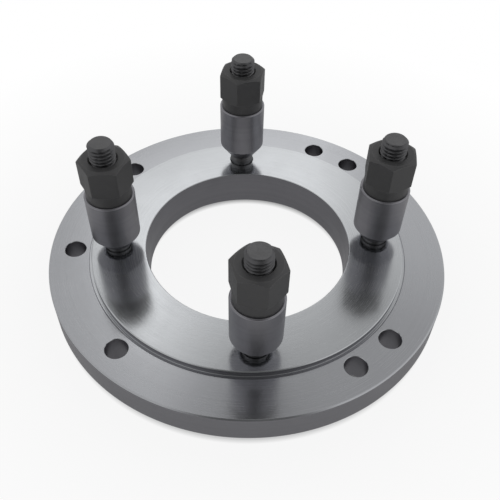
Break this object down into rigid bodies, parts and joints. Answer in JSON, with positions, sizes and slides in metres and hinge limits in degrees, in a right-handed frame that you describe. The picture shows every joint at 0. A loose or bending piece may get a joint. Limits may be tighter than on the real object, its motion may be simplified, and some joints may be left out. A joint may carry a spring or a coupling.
{
  "type": "chuck adapter plate",
  "caption": "Round chuck adapter plate: a ground steel flange with a short taper bore and raised seat, studs with collars and locknuts, and plain bolt holes near the rim.",
  "frame": {"origin": "centre of the end face of the chuck register, the ring that stands proud of the chuck side", "axes": "+Z along the plate's axis, from the chuck towards the spindle, the way the studs point; +X and +Y through studs 1 and 2"},
  "size_m": [0.16, 0.16, 0.071],
  "materials": {
    "ground_steel": "ground",
    "stud_steel": "oiled",
    "turned_steel": "turned",
    "black_oxide": "black oxide"
  },
  "bodies": {
    "plate": {"adapter_plate": "ground_steel", "stud_1": "stud_steel", "stud_2": "stud_steel", "stud_3": "stud_steel", "stud_4": "stud_steel"},
    "collar_1_body": {"collar_1": "turned_steel"},
    "locknut_1_body": {"locknut_1": "black_oxide"},
    "collar_2_body": {"collar_2": "turned_steel"},
    "locknut_2_body": {"locknut_2": "black_oxide"},
    "collar_3_body": {"collar_3": "turned_steel"},
    "locknut_3_body": {"locknut_3": "black_oxide"},
    "collar_4_body": {"collar_4": "turned_steel"},
    "locknut_4_body": {"locknut_4": "black_oxide"}
  },
  "joints": [
    {"name": "collar_slide_1", "type": "slide", "parent": "plate", "child": "collar_1_body", "axis": [0, 0, 1], "range_m": [-0.003, 0.006]},
    {"name": "locknut_turn_1", "type": "hinge", "parent": "collar_1_body", "child": "locknut_1_body", "pos_m": [0.0524, 0, 0.0465], "axis": [0, 0, 1], "range_deg": [-720, 1440]},
    {"name": "collar_slide_2", "type": "slide", "parent": "plate", "child": "collar_2_body", "axis": [0, 0, 1], "range_m": [-0.0055, 0.0055]},
    {"name": "locknut_turn_2", "type": "hinge", "parent": "collar_2_body", "child": "locknut_2_body", "pos_m": [0, 0.0524, 0.049], "axis": [0, 0, 1], "range_deg": [-1320, 1320]},
    {"name": "collar_slide_3", "type": "slide", "parent": "plate", "child": "collar_3_body", "axis": [0, 0, 1], "range_m": [-0.003, 0.007]},
    {"name": "locknut_turn_3", "type": "hinge", "parent": "collar_3_body", "child": "locknut_3_body", "pos_m": [-0.0524, 0, 0.0465], "axis": [0, 0, 1], "range_deg": [-720, 1680]},
    {"name": "collar_slide_4", "type": "slide", "parent": "plate", "child": "collar_4_body", "axis": [0, 0, 1], "range_m": [-0.0035, 0.0055]},
    {"name": "locknut_turn_4", "type": "hinge", "parent": "collar_4_body", "child": "locknut_4_body", "pos_m": [0, -0.0524, 0.047], "axis": [0, 0, 1], "range_deg": [-840, 1320]}
  ],
  "couplings": [
    {"joint": "locknut_turn_1", "follows": "collar_slide_1", "rad_per_m": 4188.8},
    {"joint": "locknut_turn_2", "follows": "collar_slide_2", "rad_per_m": 4188.8},
    {"joint": "locknut_turn_3", "follows": "collar_slide_3", "rad_per_m": 4188.8},
    {"joint": "locknut_turn_4", "follows": "collar_slide_4", "rad_per_m": 4188.8}
  ]
}
